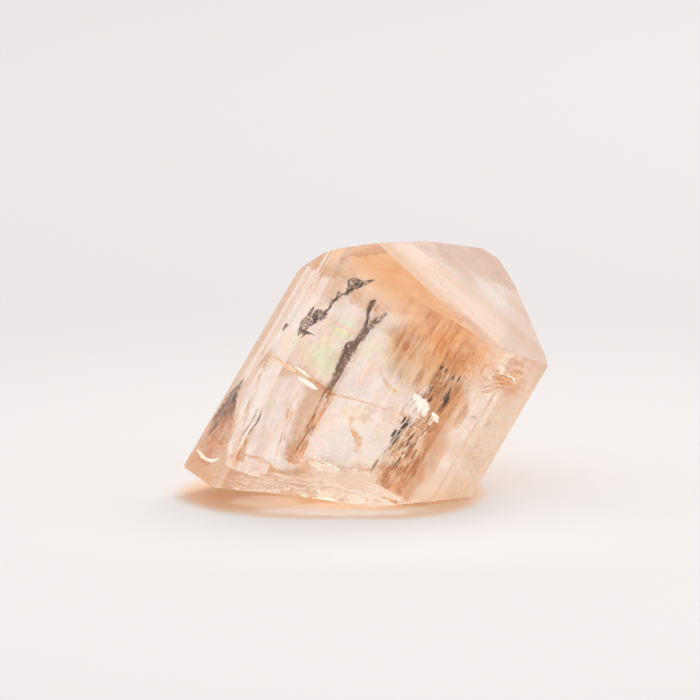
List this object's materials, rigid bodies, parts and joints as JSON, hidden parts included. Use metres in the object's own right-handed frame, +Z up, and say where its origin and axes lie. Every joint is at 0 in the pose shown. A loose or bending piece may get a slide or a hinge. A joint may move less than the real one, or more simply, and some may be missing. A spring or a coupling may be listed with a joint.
{
  "type": "rough topaz crystal",
  "caption": "Clear peach gem crystal, broken at the foot, with a grooved prism and sloping end faces; lies leaning on its broken base as a display specimen.",
  "frame": {"origin": "on the resting surface, under the middle of the crystal's bounding box", "axes": "+Z up, +X towards the right of the broad front face, +Y from the front face to the back"},
  "size_m": [0.0184, 0.0118, 0.0131],
  "materials": {
    "topaz": "clear and glossy, with frosted patches on the right side and the broken base"
  },
  "bodies": {
    "root": {"crystal": "topaz"}
  },
  "joints": []
}
